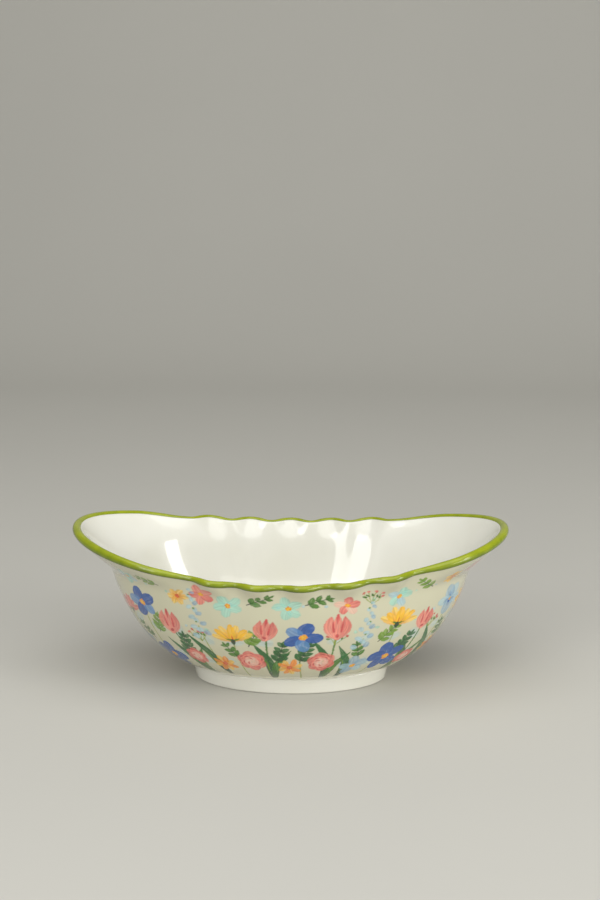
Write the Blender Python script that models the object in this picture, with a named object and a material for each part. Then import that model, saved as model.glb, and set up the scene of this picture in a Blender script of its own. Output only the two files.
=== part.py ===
"""Oval porcelain serving bowl: a flared body, a rolled rim bead and an oval foot ring.

Metres, +Z up, +X along the bowl. The origin is on the resting plane, under the middle of the bowl.
Each piece is lofted from closed rings of points that all share the same angles round the oval.
"""

import math

import bmesh
import bpy
import numpy as np

# Driving dimensions.
LENGTH = 0.330  # overall, over the rim bead
WIDTH = 0.189  # between the outer sides of the bead, lobes left out
SIDE_HEIGHT = 0.0997  # top of the bead at the middle of a long side
END_HEIGHT = 0.1213  # top of the bead at the two ends
WALL = 0.0045
FLOOR = 0.0052
BEAD_RADIUS = 0.0025

# Small lobes along each long side of the rim, and one large lobe at each side of each end.
LOBE_PITCH = 0.0325
LOBES_PER_SIDE = 5
FRONT_SHIFT = 0.0147  # where the front row's middle lobe stands along the bowl
BACK_SHIFT = -0.0051
LOBE_REACH = 0.0030  # sideways, out and in
LOBE_RISE = 0.0002  # up and down
END_LOBE_REACH = 0.0033
END_LOBE_RISE = 0.0009
BEAD_PINCH = 0.2  # share of its radius that the bead loses between two lobes

# The wall's outer curve, from the foot (0, 0) to the rim (1, 1), as reach and rise: a belly, then a lip.
END_BELLY = ((0.0, 0.0), (0.455, 0.096), (0.671, 0.614), (0.694, 0.741))
END_LIP = ((0.694, 0.741), (0.70, 0.771), (0.80, 0.82), (1.0, 1.0))
SIDE_BELLY = ((0.0, 0.0), (0.44, 0.10), (0.80, 0.56), (0.87, 0.86))
SIDE_LIP = ((0.87, 0.86), (0.877, 0.89), (0.92, 0.93), (1.0, 1.0))

# Foot ring.
FOOT_LENGTH = 0.1464  # at the resting face
FOOT_WIDTH = 0.0890
FOOT_HEIGHT = 0.0125
FOOT_TAPER = 0.0022  # how much further out its top stands
FOOT_RING_WIDTH = 0.0085
FOOT_EDGE = 0.0022  # rounding of the resting edges

# Seat of the bead in the top of the wall.
GAP = 0.0003  # between pieces that touch
SEAT_TOP = math.radians(146.0)
SEAT_BOTTOM = math.radians(280.0)
SEAT_LIP = 0.0009  # thin lip inside the bead
SEAT_CROWN = (math.radians(152.0), math.radians(166.0))  # where that lip's rounded top turns down
LIP_THICKENING = 0.0007
FLOOR_FILLET = 0.0030
FLOOR_SHARE = 0.85  # where the dished floor becomes flat

# Mesh density.
SEGMENTS = 144
FOOT_SEGMENTS = 96
BELLY_STEPS = 7
LIP_STEPS = 5
SEAT_STEPS = 5
BEAD_SIDES = 8
EDGE_STEPS = 3
FINE_STEPS = 40

# Plain colours, as red, green and blue.
GLAZE_COLOUR = (0.80, 0.78, 0.68)
RIM_COLOUR = (0.20, 0.27, 0.02)

TAU = 2.0 * math.pi
UP = np.array((0.0, 0.0, 1.0))


def clear_scene():
    """Removes every object of the open scene."""
    for obj in list(bpy.data.objects):
        bpy.data.objects.remove(obj, do_unlink=True)


def smoothstep(start, end, value):
    """A rise from 0 at start to 1 at end."""
    share = np.clip((value - start) / (end - start), 0.0, 1.0)
    return share * share * (3.0 - 2.0 * share)


def bezier(points, steps):
    """Points along a cubic, its last one left out."""
    share = (np.arange(steps) / steps)[:, None]
    rest = 1.0 - share
    start, near, far, end = np.array(points)
    return rest**3 * start + 3 * share * rest**2 * near + 3 * share**2 * rest * far + share**3 * end


def oval(angles, half_length, half_width, height):
    """A flat ellipse of points."""
    across = np.zeros_like(angles) + height
    return np.stack((half_length * np.cos(angles), half_width * np.sin(angles), across), axis=1)


def even_angles(segments):
    """Angles round the oval that stand evenly along its edge."""
    fine = np.linspace(0.0, TAU, FINE_STEPS * segments + 1)
    path = oval(fine, LENGTH / 2 - BEAD_RADIUS, WIDTH / 2 - BEAD_RADIUS, 0.0)
    run = np.concatenate(([0.0], np.cumsum(np.linalg.norm(np.diff(path, axis=0), axis=1))))
    return np.interp(np.arange(segments) / segments * run[-1], run, fine)


def lobes(plain):
    """The lobes along the plain rim: a wave from -1 to 1, 0 at the tips, then its reach and its rise."""
    tip = LENGTH / 2 - BEAD_RADIUS
    last_pinch = LOBES_PER_SIDE / 2 * LOBE_PITCH
    crest = (last_pinch + tip) / 2
    shift = np.where(plain[:, 1] < 0.0, FRONT_SHIFT, BACK_SHIFT)
    shift = shift * (1.0 - smoothstep(last_pinch + np.abs(shift), tip, np.abs(plain[:, 0])))
    along = np.abs(plain[:, 0] - shift)
    end_share = np.clip((along - last_pinch) / (crest - last_pinch), 0.0, 1.0)
    turn = math.pi * (np.minimum(along, last_pinch) / (LOBE_PITCH / 2) + end_share)
    fade = 1.0 - np.clip((along - crest) / (tip - crest), 0.0, 1.0) ** 2
    wave = np.cos(turn) * fade
    reach = LOBE_REACH + (END_LOBE_REACH - LOBE_REACH) * end_share
    rise = LOBE_RISE + (END_LOBE_RISE - LOBE_RISE) * end_share
    return wave, reach * wave, rise * wave


def outward(path):
    """Level unit vectors that point out of a closed path."""
    tangent = np.roll(path, -1, axis=0) - np.roll(path, 1, axis=0)
    normal = np.stack((tangent[:, 1], -tangent[:, 0], np.zeros(len(path))), axis=1)
    return normal / np.linalg.norm(normal, axis=1)[:, None]


def plain_rim_path(angles):
    """The middle line that the bead would have without its lobes."""
    path = oval(angles, LENGTH / 2 - BEAD_RADIUS, WIDTH / 2 - BEAD_RADIUS, SIDE_HEIGHT - BEAD_RADIUS)
    path[:, 2] += (END_HEIGHT - SIDE_HEIGHT) * np.cos(angles) ** 2
    return path


def rim_path(angles):
    """The middle line of the bead, its outward vectors and its radius, all round."""
    path = plain_rim_path(angles)
    wave, reach, rise = lobes(path)
    path = path + outward(path) * reach[:, None] + UP * rise[:, None]
    radius = BEAD_RADIUS * (1.0 - BEAD_PINCH * np.clip(-wave, 0.0, 1.0))
    return path, outward(path), radius


def around_bead(centre, out, radius, turn):
    """A ring of points at one turn round the bead, where 0 points outward and a quarter turn up."""
    return centre + out * (radius * math.cos(turn))[:, None] + UP * (radius * math.sin(turn))[:, None]


def wall_curve(belly, lip):
    """Reach and rise of each ring of the wall."""
    return np.vstack((bezier(belly, BELLY_STEPS), bezier(lip, LIP_STEPS), ((1.0, 1.0),)))


def outer_wall(angles, plain_top, top):
    """Rings of the wall's outer face, foot to bead, and how far up the lip each stands, from 0 to 1."""
    foot = oval(angles, FOOT_LENGTH / 2 + FOOT_TAPER, FOOT_WIDTH / 2 + FOOT_TAPER, FOOT_HEIGHT + GAP)
    end = wall_curve(END_BELLY, END_LIP)
    side = wall_curve(SIDE_BELLY, SIDE_LIP)
    toward_end = (np.cos(angles) ** 2)[:, None]
    rings = []
    lip_shares = []
    for ring_end, ring_side in zip(end, side):
        reach, rise = (ring_side + (ring_end - ring_side) * toward_end).T
        waist = SIDE_LIP[0][1] + (END_LIP[0][1] - SIDE_LIP[0][1]) * toward_end[:, 0]
        lip_share = smoothstep(waist, 1.0, rise)[:, None]
        share = np.stack((reach, reach, rise), axis=1)
        rings.append(foot + (plain_top - foot) * share + (top - plain_top) * lip_share)
        lip_shares.append(lip_share)
    return np.array(rings), np.array(lip_shares)


def inner_wall(outer, lip_shares):
    """Rings of the wall's inner face, one thickness in from the outer face, with a floor ring first."""
    along = np.gradient(outer, axis=0)
    around = np.roll(outer, -1, axis=1) - np.roll(outer, 1, axis=1)
    normal = np.cross(around, along)
    normal /= np.linalg.norm(normal, axis=2)[:, :, None]
    inner = outer - normal * (WALL + LIP_THICKENING * lip_shares)
    level = FOOT_HEIGHT + GAP + FLOOR
    above = inner[:, :, 2] - level
    inner[:, :, 2] = level + (above + np.sqrt(above**2 + FLOOR_FILLET**2)) / 2
    floor = inner[0] * (FLOOR_SHARE, FLOOR_SHARE, 0.0) + UP * level
    return [floor, *inner]


def new_object(name, mesh_data, colour, roughness):
    """An object with its own plain material, shaded smooth except at sharp edges."""
    mesh = bpy.data.meshes.new(name)
    mesh_data.to_mesh(mesh)
    mesh_data.free()
    mesh.shade_smooth()
    mesh.set_sharp_from_angle(angle=math.radians(50.0))
    obj = bpy.data.objects.new(name, mesh)
    material = bpy.data.materials.new(name)
    material.use_nodes = True
    shader = material.node_tree.nodes["Principled BSDF"]
    shader.inputs["Base Color"].default_value = (*colour, 1.0)
    shader.inputs["Roughness"].default_value = roughness
    shader.inputs["Metallic"].default_value = 0.0
    mesh.materials.append(material)
    bpy.context.scene.collection.objects.link(obj)
    return obj


def loft(rings, closed):
    """A surface through rings of points, which either joins its last ring to its first or has capped ends."""
    shape = bmesh.new()
    loops = [[shape.verts.new(point) for point in ring] for ring in rings]
    pairs = list(zip(loops, loops[1:]))
    if closed:
        pairs.append((loops[-1], loops[0]))
    for lower, upper in pairs:
        for here in range(len(lower)):
            after = (here + 1) % len(lower)
            shape.faces.new((lower[here], lower[after], upper[after], upper[here]))
    if not closed:
        shape.faces.new(reversed(loops[0]))
        shape.faces.new(loops[-1])
    bmesh.ops.triangulate(shape, faces=shape.faces[:], quad_method="SHORT_EDGE")
    bmesh.ops.recalc_face_normals(shape, faces=shape.faces[:])
    return shape


def build_body(angles):
    """The bowl's wall and floor in one, with the bead's seat along its top."""
    centre, out, radius = rim_path(angles)
    plain = plain_rim_path(angles)
    seat = radius + GAP
    top = around_bead(centre, out, seat, SEAT_BOTTOM)
    plain_top = around_bead(plain, outward(plain), seat, SEAT_BOTTOM)
    outer, lip_shares = outer_wall(angles, plain_top, top)
    inner = inner_wall(outer, lip_shares)[:-1]
    turns = np.linspace(SEAT_BOTTOM, SEAT_TOP, SEAT_STEPS + 1)[1:]
    bed = [around_bead(centre, out, seat, turn) for turn in turns]
    crown = [around_bead(centre, out, seat + SEAT_LIP, turn) for turn in SEAT_CROWN]
    rings = [*outer, *bed, *crown, *reversed(inner)]
    return new_object("bowl_body", loft(rings, closed=False), GLAZE_COLOUR, 0.18)


def build_bead(angles):
    """The rolled bead that runs all round the rim."""
    centre, out, radius = rim_path(angles)
    turns = np.arange(BEAD_SIDES) * TAU / BEAD_SIDES
    rings = [around_bead(centre, out, radius, turn) for turn in turns]
    return new_object("rim_bead", loft(rings, closed=True), RIM_COLOUR, 0.20)


def build_foot(angles):
    """The oval ring that the bowl stands on."""
    base = oval(angles, FOOT_LENGTH / 2, FOOT_WIDTH / 2, 0.0)
    out = outward(base)
    arc = np.linspace(0.0, math.pi / 2, EDGE_STEPS + 1)
    section = [(FOOT_TAPER, FOOT_HEIGHT)]
    section += [(FOOT_EDGE * (math.cos(turn) - 1), FOOT_EDGE * (1 - math.sin(turn))) for turn in arc]
    inside = FOOT_EDGE - FOOT_RING_WIDTH
    section += [(inside - FOOT_EDGE * math.sin(turn), FOOT_EDGE * (1 - math.cos(turn))) for turn in arc]
    section += [(inside - FOOT_EDGE, FOOT_HEIGHT)]
    rings = [base + out * reach + UP * height for reach, height in section]
    return new_object("foot_ring", loft(rings, closed=True), GLAZE_COLOUR, 0.35)


def main():
    """Builds the three pieces."""
    clear_scene()
    build_body(even_angles(SEGMENTS))
    build_bead(even_angles(SEGMENTS))
    build_foot(even_angles(FOOT_SEGMENTS))


main()
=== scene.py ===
"""Looks of an oval porcelain serving bowl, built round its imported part.

The wall is a smooth shell with a scalloped lip, a rolled green bead runs round the rim, and the bowl
stands on an oval foot. A garden of brushed flowers is laid on the wall as decals are: two copies of
one flat sheet go round it end to end, from the foot up, and the sheet's left edge meets its right.
"""

import logging
import math
from abc import ABC, abstractmethod
from collections.abc import Iterator, Sequence
from dataclasses import dataclass, field
from enum import Enum
from itertools import cycle

import bpy
import numpy as np
from mathutils import Matrix, Vector


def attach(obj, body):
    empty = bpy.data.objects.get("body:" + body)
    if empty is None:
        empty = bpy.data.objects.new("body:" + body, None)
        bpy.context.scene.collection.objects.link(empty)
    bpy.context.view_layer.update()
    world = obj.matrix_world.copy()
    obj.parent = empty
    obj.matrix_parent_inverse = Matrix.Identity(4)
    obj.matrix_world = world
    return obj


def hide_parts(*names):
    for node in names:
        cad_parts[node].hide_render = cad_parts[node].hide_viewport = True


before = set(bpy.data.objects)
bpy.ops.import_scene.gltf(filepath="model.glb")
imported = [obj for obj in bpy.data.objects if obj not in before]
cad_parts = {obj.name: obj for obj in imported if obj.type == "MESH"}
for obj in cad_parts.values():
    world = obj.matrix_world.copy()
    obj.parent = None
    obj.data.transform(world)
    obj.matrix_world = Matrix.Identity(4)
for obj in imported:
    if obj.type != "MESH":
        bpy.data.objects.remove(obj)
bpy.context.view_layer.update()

log = logging.getLogger("serving_bowl")

MM = 0.001
TAU = 2.0 * math.pi
UP = np.array((0.0, 0.0, 1.0))
Colour = tuple[float, float, float]


def rgb(red: int, green: int, blue: int) -> Colour:
    """A display colour, 0 to 255 a channel, as linear red, green and blue."""
    return tuple(((c / 255 + 0.055) / 1.055) ** 2.4 if c > 10 else c / 3294.6 for c in (red, green, blue))


def smoothstep(start: float, end: float, value: np.ndarray) -> np.ndarray:
    """A rise from 0 at start to 1 at end.

    Args:
        start: Where the rise begins.
        end: Where the rise ends.
        value: The places to read.

    Returns:
        The height of the rise at each place.
    """
    share = np.clip((value - start) / (end - start), 0.0, 1.0)
    return share * share * (3.0 - 2.0 * share)


# Shader building blocks.


class Shade:
    """A shader socket that takes part in Python arithmetic, adding Math nodes as it goes."""

    def __init__(self, tree: "Recipe", socket: bpy.types.NodeSocket) -> None:
        """Wraps one output socket of a recipe's node tree."""
        self.tree = tree
        self.socket = socket

    def _with(self, operation: str, *values: object) -> "Shade":
        """A Math node of these values."""
        return self.tree.node("ShaderNodeMath", {"operation": operation}, dict(enumerate(values)))

    def __add__(self, other: object) -> "Shade":
        """The sum."""
        return self._with("ADD", self, other)

    __radd__ = __add__

    def __mul__(self, other: object) -> "Shade":
        """The product."""
        return self._with("MULTIPLY", self, other)

    __rmul__ = __mul__

    def __sub__(self, other: object) -> "Shade":
        """The difference."""
        return self._with("SUBTRACT", self, other)

    def __rsub__(self, other: object) -> "Shade":
        """The difference, the other way round."""
        return self._with("SUBTRACT", other, self)

    def __pow__(self, other: object) -> "Shade":
        """The power."""
        return self._with("POWER", self, other)

    def held(self) -> "Shade":
        """This value, kept between 0 and 1."""
        return self.tree.node("ShaderNodeClamp", {}, {"Value": self})


class Recipe:
    """A material under construction."""

    def __init__(self, name: str) -> None:
        """Starts an empty material of that name."""
        self.material = bpy.data.materials.new(name)
        self.material.use_nodes = True
        self.nodes = self.material.node_tree.nodes
        self.links = self.material.node_tree.links
        self.nodes.clear()

    def node(self, kind: str, settings: dict, values: dict, out: int | str = 0) -> Shade:
        """Adds one node.

        Args:
            kind: The node's type.
            settings: Its settings, set before its sockets; "stops" are a colour ramp's places and colours.
            values: The value or link of each input socket, by name or number.
            out: The output socket to return, by name or number.

        Returns:
            The chosen output.
        """
        made = self.nodes.new(kind)
        for key, value in settings.items():
            if key == "stops":
                self._set_stops(made.color_ramp, value)
            else:
                setattr(made, key, value)
        for key, value in values.items():
            if isinstance(value, Shade):
                self.links.new(value.socket, made.inputs[key])
            else:
                made.inputs[key].default_value = value
        return Shade(self, made.outputs[out]) if len(made.outputs) else Shade(self, None)

    @staticmethod
    def _set_stops(ramp: bpy.types.ColorRamp, stops: Sequence[tuple[float, Colour]]) -> None:
        """Gives a colour ramp these stops."""
        while len(ramp.elements) < len(stops):
            ramp.elements.new(1.0)
        for element, (place, colour) in zip(ramp.elements, stops):
            element.position = place
            element.color = (*colour, 1.0)

    def place(self) -> Shade:
        """The point on the object, in metres."""
        return self.node("ShaderNodeTexCoord", {}, {}, "Object")

    def noise(self, scale: float, detail: float = 3.0) -> Shade:
        """Noise in space.

        Args:
            scale: How many features there are in a metre.
            detail: How many finer layers it has.

        Returns:
            A value about 0.5.
        """
        where = self.place()
        return self.node("ShaderNodeTexNoise", {}, {"Vector": where, "Scale": scale, "Detail": detail})

    def mix(self, share: object, first: object, second: object, blend: str = "MIX") -> Shade:
        """A blend of two colours.

        Args:
            share: How much of the second colour there is.
            first: The first colour, or a link.
            second: The second colour, or a link.
            blend: The way they blend.

        Returns:
            The blended colour.
        """
        settings = {"data_type": "RGBA", "blend_type": blend}
        first, second = (c if isinstance(c, Shade) else (*c, 1.0) for c in (first, second))
        return self.node("ShaderNodeMix", settings, {0: share, 6: first, 7: second}, 2)

    def bump(self, height: Shade, depth: float, strength: float) -> Shade:
        """A bumped normal whose bumps are at most that deep, in metres."""
        return self.node("ShaderNodeBump", {}, {"Height": height, "Distance": depth, "Strength": strength})

    def finish(self, **sockets: object) -> bpy.types.Material:
        """Ends the material in a Principled shader.

        Args:
            **sockets: The shader's inputs, with a space written as an underscore.

        Returns:
            The finished material.
        """
        values = {name.replace("_", " "): value for name, value in sockets.items()}
        shader = self.node("ShaderNodeBsdfPrincipled", {}, values)
        self.node("ShaderNodeOutputMaterial", {}, {"Surface": shader})
        return self.material


# Shape of the bowl.


def bezier(points: Sequence[tuple[float, float]], steps: int) -> np.ndarray:
    """Points along a cubic curve, its last one left out.

    Args:
        points: Its two ends and two handles.
        steps: How many points to make.

    Returns:
        The points, one a row.
    """
    share = (np.arange(steps) / steps)[:, None]
    rest = 1.0 - share
    start, near, far, end = np.array(points)
    return rest**3 * start + 3 * share * rest**2 * near + 3 * share**2 * rest * far + share**3 * end


def oval(angles: np.ndarray, half_length: float, half_width: float, height: float) -> np.ndarray:
    """A flat ellipse of points.

    Args:
        angles: Where the points stand round it, in radians.
        half_length: Half its size along X.
        half_width: Half its size along Y.
        height: Its height.

    Returns:
        The points, one a row.
    """
    across = np.full_like(angles, height)
    return np.stack((half_length * np.cos(angles), half_width * np.sin(angles), across), axis=1)


def outward(path: np.ndarray) -> np.ndarray:
    """Level unit vectors that point out of a closed path."""
    tangent = np.roll(path, -1, axis=0) - np.roll(path, 1, axis=0)
    normal = np.stack((tangent[:, 1], -tangent[:, 0], np.zeros(len(path))), axis=1)
    return normal / np.linalg.norm(normal, axis=1)[:, None]


def around(centre: np.ndarray, out: np.ndarray, radius: np.ndarray, turn: float) -> np.ndarray:
    """A ring of points at one turn round a tube.

    Args:
        centre: The tube's middle line.
        out: Level vectors that point out of the ring.
        radius: The distance from the middle line at each point.
        turn: The turn in degrees: 0 is outward and 90 is up.

    Returns:
        The points, one a row.
    """
    turn = math.radians(turn)
    return centre + out * (radius * math.cos(turn))[:, None] + UP * (radius * math.sin(turn))[:, None]


def run_lengths(points: np.ndarray) -> np.ndarray:
    """How far along its line each point of an array of lines stands, the lines running down axis 0."""
    steps = np.linalg.norm(np.diff(points, axis=0), axis=-1)
    return np.concatenate((np.zeros((1, *steps.shape[1:])), np.cumsum(steps, axis=0)))


def respace(rings: np.ndarray, rows: int) -> np.ndarray:
    """Moves a stack of rings to stand evenly up the surface that they span.

    Args:
        rings: The rings, bottom first, each an array of points.
        rows: How many rings to return.

    Returns:
        That many rings.
    """
    runs = run_lengths(rings)
    made = np.empty((rows, *rings.shape[1:]))
    for column in range(rings.shape[1]):
        marks = np.linspace(0.0, runs[-1, column], rows)
        for axis in range(3):
            made[:, column, axis] = np.interp(marks, runs[:, column], rings[:, column, axis])
    return made


def soften(
    rings: np.ndarray, passes: int, ease: tuple[float, float, float, float] | None = None
) -> np.ndarray:
    """Rounds off the bends up a stack of rings, its first and last ring kept.

    Args:
        rings: The rings.
        passes: How often to smooth them.
        ease: Shares of the way up where the smoothing starts, is full, starts to fade and is gone.
            Without it, the smoothing is full everywhere.

    Returns:
        The smoothed rings.
    """
    level = np.linspace(0.0, 1.0, len(rings))[1:-1]
    share = np.ones(len(level))
    if ease:
        share = smoothstep(ease[0], ease[1], level) * (1.0 - smoothstep(ease[2], ease[3], level))
    for _ in range(passes):
        rings = rings.copy()
        rings[1:-1] += (rings[:-2] - 2 * rings[1:-1] + rings[2:]) / 4 * share[:, None, None]
    return rings


@dataclass(frozen=True)
class BowlShape:
    """The bowl's sizes, in metres, and the curves that follow from them."""

    length: float = 0.330
    width: float = 0.189
    side_height: float = 0.0997
    end_height: float = 0.1213
    wall: float = 0.0045
    floor: float = 0.0052
    bead_radius: float = 0.0025
    lobe_pitch: float = 0.0325
    lobes_per_side: int = 5
    front_shift: float = 0.0147
    back_shift: float = -0.0051
    lobe_reach: float = 0.0028
    lobe_rise: float = 0.0002
    end_lobe_reach: float = 0.0033
    end_lobe_rise: float = 0.0009
    bead_pinch: float = 0.2
    end_swell: float = 0.0008
    inner_fade: int = 8
    end_belly: tuple = ((0.0, 0.0), (0.455, 0.096), (0.671, 0.614), (0.694, 0.741))
    end_lip: tuple = ((0.694, 0.741), (0.70, 0.771), (0.80, 0.82), (1.0, 1.0))
    side_belly: tuple = ((0.0, 0.0), (0.44, 0.10), (0.80, 0.56), (0.87, 0.86))
    side_lip: tuple = ((0.87, 0.86), (0.877, 0.89), (0.92, 0.93), (1.0, 1.0))
    foot_length: float = 0.1464
    foot_width: float = 0.0890
    foot_height: float = 0.0125
    foot_taper: float = 0.0022
    joint: float = 0.0003
    seat_bottom: float = 280.0
    lip_turns: tuple = (176.0, 166.0, 158.0, 150.0)
    lip_proud: tuple = (0.0012, 0.0011, 0.0007, 0.0001)
    lip_thickening: float = 0.0007
    floor_fillet: float = 0.0060

    def angles(self, count: int) -> np.ndarray:
        """Angles that stand evenly along the rim, the first at the middle of the front.

        Args:
            count: How many to make.

        Returns:
            The angles, in radians.
        """
        fine = np.linspace(-TAU / 4, TAU * 3 / 4, 20 * count + 1)
        inset = self.bead_radius
        run = run_lengths(oval(fine, self.length / 2 - inset, self.width / 2 - inset, 0.0))
        return np.interp(np.arange(count) / count * run[-1], run, fine)

    def lobes(self, plain: np.ndarray) -> tuple[np.ndarray, np.ndarray, np.ndarray]:
        """The scallops along the rim.

        Args:
            plain: The line that the bead would follow without them.

        Returns:
            A wave from -1 at a pinch to 1 at a lobe, how far it moves the bead out, and how far up.
        """
        tip = self.length / 2 - self.bead_radius
        last_pinch = self.lobes_per_side / 2 * self.lobe_pitch
        crest = (last_pinch + tip) / 2
        shift = np.where(plain[:, 1] < 0.0, self.front_shift, self.back_shift)
        shift = shift * (1.0 - smoothstep(last_pinch + np.abs(shift), tip, np.abs(plain[:, 0])))
        along = np.abs(plain[:, 0] - shift)
        end_share = np.clip((along - last_pinch) / (crest - last_pinch), 0.0, 1.0)
        turn = math.pi * (np.minimum(along, last_pinch) / (self.lobe_pitch / 2) + end_share)
        wave = np.cos(turn) * (1.0 - np.clip((along - crest) / (tip - crest), 0.0, 1.0) ** 2)
        reach = self.lobe_reach + (self.end_lobe_reach - self.lobe_reach) * end_share
        rise = self.lobe_rise + (self.end_lobe_rise - self.lobe_rise) * end_share
        return wave, reach * wave, rise * wave

    def plain_rim(self, angles: np.ndarray) -> np.ndarray:
        """The line that the bead would follow without its lobes."""
        inset = self.bead_radius
        path = oval(angles, self.length / 2 - inset, self.width / 2 - inset, self.side_height - inset)
        path[:, 2] += (self.end_height - self.side_height) * np.cos(angles) ** 2
        return path

    def rim(self, angles: np.ndarray) -> tuple[np.ndarray, np.ndarray, np.ndarray]:
        """The bead's middle line.

        Args:
            angles: Where to stand round the rim.

        Returns:
            Its points, its outward vectors and the bead's radius at each.
        """
        path = self.plain_rim(angles)
        wave, reach, rise = self.lobes(path)
        swell = self.end_swell * smoothstep(0.45, 0.9, np.abs(np.cos(angles)))
        path = path + outward(path) * (reach - swell)[:, None] + UP * (rise - swell)[:, None]
        radius = swell + self.bead_radius * (1.0 - self.bead_pinch * np.clip(-wave, 0.0, 1.0))
        return path, outward(path), radius

    def outer_rings(self, angles: np.ndarray, steps: int, fade: int = 1) -> tuple[np.ndarray, np.ndarray]:
        """The wall's outer face.

        Args:
            angles: Where its columns stand.
            steps: How many rings its belly and its lip each have.
            fade: How fast the lobes die away below the rim.

        Returns:
            Its rings from the foot up, and how far up the lip each point stands, from 0 to 1.
        """
        centre, out, radius = self.rim(angles)
        plain = self.plain_rim(angles)
        top = around(centre, out, radius, self.seat_bottom)
        plain_top = around(plain, outward(plain), radius, self.seat_bottom)
        spread = self.foot_taper
        base = self.foot_height + self.joint
        foot = oval(angles, self.foot_length / 2 + spread, self.foot_width / 2 + spread, base)
        end = np.vstack((bezier(self.end_belly, steps), bezier(self.end_lip, steps), ((1.0, 1.0),)))
        side = np.vstack((bezier(self.side_belly, steps), bezier(self.side_lip, steps), ((1.0, 1.0),)))
        toward_end = (np.cos(angles) ** 2)[:, None]
        rings, shares = [], []
        for ring_end, ring_side in zip(end, side):
            reach, rise = (ring_side + (ring_end - ring_side) * toward_end).T
            waist = self.side_lip[0][1] + (self.end_lip[0][1] - self.side_lip[0][1]) * toward_end[:, 0]
            lip_share = smoothstep(waist, 1.0, rise)[:, None] ** fade
            share = np.stack((reach, reach, rise), axis=1)
            rings.append(foot + (plain_top - foot) * share + (top - plain_top) * lip_share)
            shares.append(lip_share)
        return np.array(rings), np.array(shares)

    def inner_rings(self, angles: np.ndarray, steps: int) -> np.ndarray:
        """The wall's inner face, from its floor to the thin lip that laps the bead.

        Args:
            angles: Where its columns stand.
            steps: How many rings the belly and the lip each have.

        Returns:
            Its rings, lowest first.
        """
        outer, lip_shares = self.outer_rings(angles, steps, self.inner_fade)
        along = np.gradient(outer, axis=0)
        across = np.roll(outer, -1, axis=1) - np.roll(outer, 1, axis=1)
        normal = np.cross(across, along)
        normal /= np.linalg.norm(normal, axis=2)[:, :, None]
        inner = outer - normal * (self.wall + self.lip_thickening * lip_shares)
        level = self.foot_height + self.joint + self.floor
        above = inner[:, :, 2] - level
        inner[:, :, 2] = level + (above + np.sqrt(above**2 + self.floor_fillet**2)) / 2
        centre, out, radius = self.rim(angles)
        lip = [around(centre, out, radius + p, t) for p, t in zip(self.lip_proud, self.lip_turns)]
        lip.append(around(centre, out, radius * 0.8, 145.0))
        return np.array([*inner[: -max(1, steps // 8)], *lip])


# Meshes.


def grid_object(
    name: str,
    rings: np.ndarray,
    uv: np.ndarray,
    looped: bool = True,
    pole: np.ndarray | None = None,
    flip: bool = False,
) -> bpy.types.Object:
    """A smooth surface through a grid of points.

    Args:
        name: The object's name.
        rings: The points, as rows of columns, with the outside on the right going up each column.
        uv: A texture place for each point, with one more column than the points have if they loop.
        looped: Whether the last column joins the first.
        pole: A point that closes the first row, or None.
        flip: Whether the outside is on the left instead.

    Returns:
        The object, linked into the scene.
    """
    rows, columns = rings.shape[:2]
    spans = columns if looped else columns - 1
    row, column = np.meshgrid(np.arange(rows - 1), np.arange(spans), indexing="ij")
    after = (column + 1) % columns
    here, above = row * columns, (row + 1) * columns
    quads = np.stack((here + column, here + after, above + after, above + column), axis=-1).reshape(-1, 4)
    corners = (uv[row, column], uv[row, column + 1], uv[row + 1, column + 1], uv[row + 1, column])
    places = np.stack(corners, axis=2).reshape(-1, 2)
    if flip:
        quads, places = quads[:, ::-1], places.reshape(-1, 4, 2)[:, ::-1].reshape(-1, 2)
    points = rings.reshape(-1, 3)
    corners, sizes = quads.ravel(), np.full(len(quads), 4)
    if pole is not None:
        here = np.arange(spans)
        fan = np.stack(((here + 1) % columns, here, np.full(spans, len(points))), axis=1)
        middle = uv[0].mean(axis=0)
        fan_places = np.stack((uv[0, here + 1], uv[0, here], np.tile(middle, (spans, 1))), axis=1)
        if flip:
            fan, fan_places = fan[:, ::-1], fan_places[:, ::-1]
        fan_places = fan_places.reshape(-1, 2)
        points = np.vstack((points, pole))
        corners, sizes = np.concatenate((corners, fan.ravel())), np.concatenate((sizes, np.full(spans, 3)))
        places = np.vstack((places, fan_places))
    mesh = bpy.data.meshes.new(name)
    mesh.vertices.add(len(points))
    mesh.vertices.foreach_set("co", points.astype(np.float32).ravel())
    mesh.loops.add(len(corners))
    mesh.loops.foreach_set("vertex_index", corners.astype(np.int32))
    mesh.polygons.add(len(sizes))
    starts = np.concatenate(([0], np.cumsum(sizes)[:-1])).astype(np.int32)
    mesh.polygons.foreach_set("loop_start", starts)
    mesh.update(calc_edges=True)
    mesh.shade_smooth()
    layer = mesh.uv_layers.new(name="OFBake")
    layer.data.foreach_set("uv", places.astype(np.float32).ravel())
    obj = bpy.data.objects.new(name, mesh)
    bpy.context.scene.collection.objects.link(obj)
    return obj


def band_uv(rows: int, columns: int) -> np.ndarray:
    """Texture places that spread a grid of points over the whole square.

    Args:
        rows: How many rows of points there are.
        columns: How many columns of places to make.

    Returns:
        The places, as rows of columns.
    """
    across, up = np.meshgrid(np.linspace(0.005, 0.995, columns), np.linspace(0.005, 0.995, rows))
    return np.stack((across, up), axis=-1)


def disc_uv(rings: np.ndarray) -> np.ndarray:
    """Texture places that open a dish out into a disc, each ring outside the one before.

    Args:
        rings: The dish's points, innermost ring first.

    Returns:
        The places, with the first column repeated at the end.
    """
    run = run_lengths(rings).mean(axis=1) + np.linalg.norm(rings[0] - rings[0].mean(axis=0), axis=1).mean()
    reach = 0.49 * run / run[-1]
    turn = np.linspace(0.0, TAU, rings.shape[1] + 1)
    return 0.5 + reach[:, None, None] * np.stack((np.cos(turn), np.sin(turn)), axis=-1)


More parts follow.
